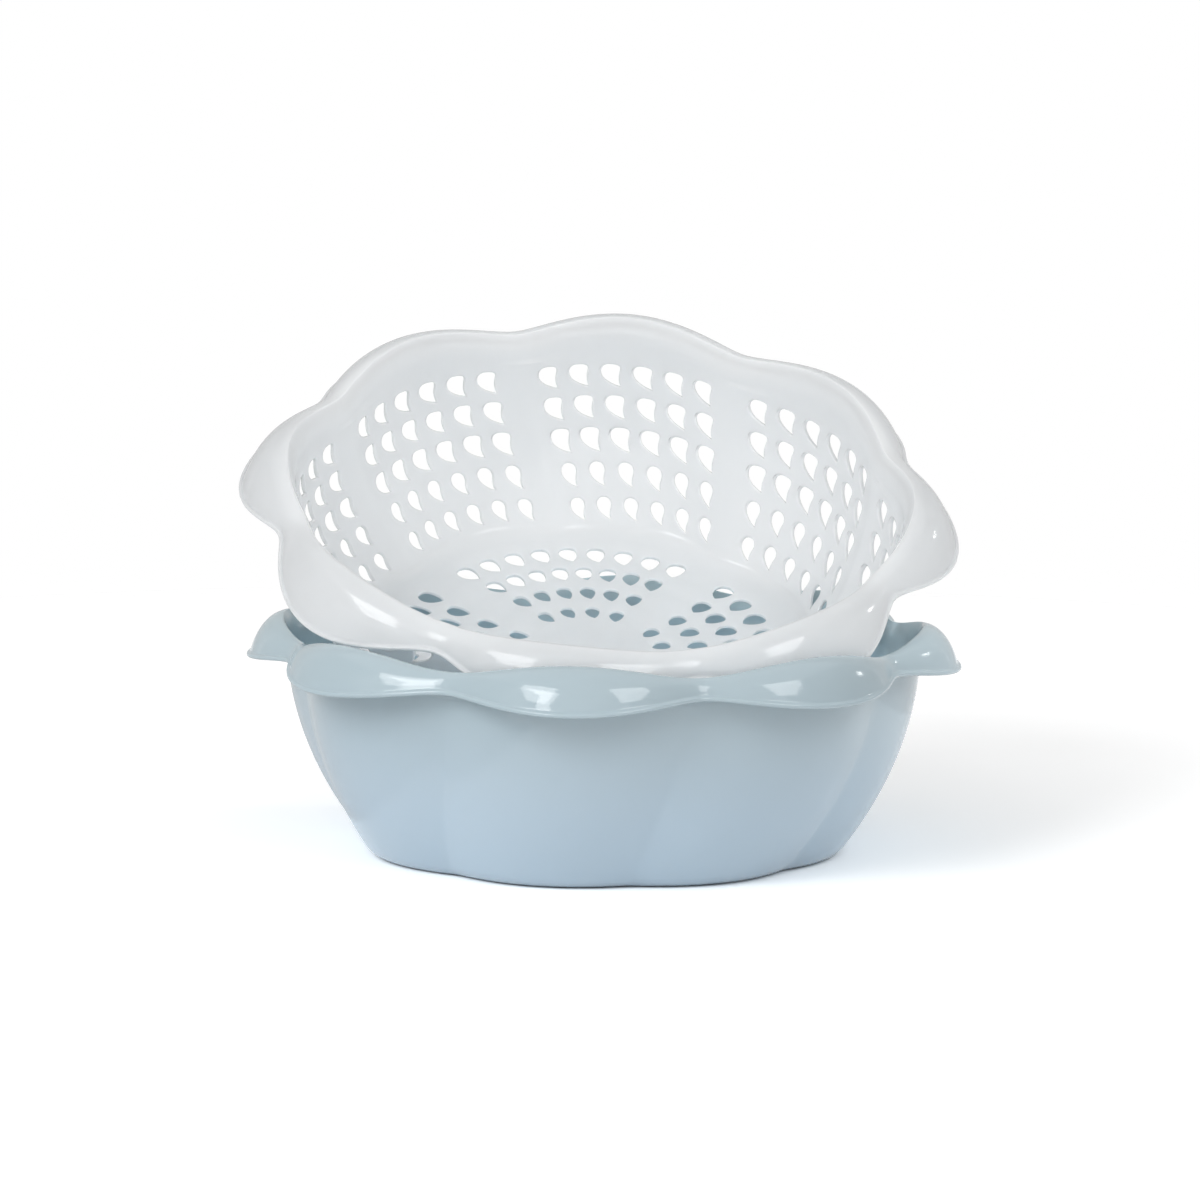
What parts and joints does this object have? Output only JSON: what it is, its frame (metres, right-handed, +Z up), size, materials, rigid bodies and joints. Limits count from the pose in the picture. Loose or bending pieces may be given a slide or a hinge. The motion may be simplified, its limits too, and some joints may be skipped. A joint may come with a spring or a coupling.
{
  "type": "drain basket",
  "caption": "Petal-rimmed drain basket set: a perforated strainer bowl with a swirled wall, leaning in the matching plain basin that it nests in.",
  "frame": {"origin": "centre of the basin's flat base, on the surface that it stands on", "axes": "+Z up along the basin's axis, -Y towards the side that the strainer leans down to, +X to the right seen from there"},
  "size_m": [0.2884, 0.293, 0.2004],
  "materials": {
    "basin_plastic": "satin moulded polypropylene, pale blue-grey, glossier on the rim",
    "strainer_plastic": "satin moulded polypropylene, cool white, glossier on the rim"
  },
  "bodies": {
    "basin_body": {"basin": "basin_plastic"},
    "strainer_body": {"strainer": "strainer_plastic"}
  },
  "joints": [
    {"name": "strainer_lift", "type": "slide", "parent": "basin_body", "child": "strainer_body", "axis": [0, 0, 1], "range_m": [0, 0.12]}
  ]
}
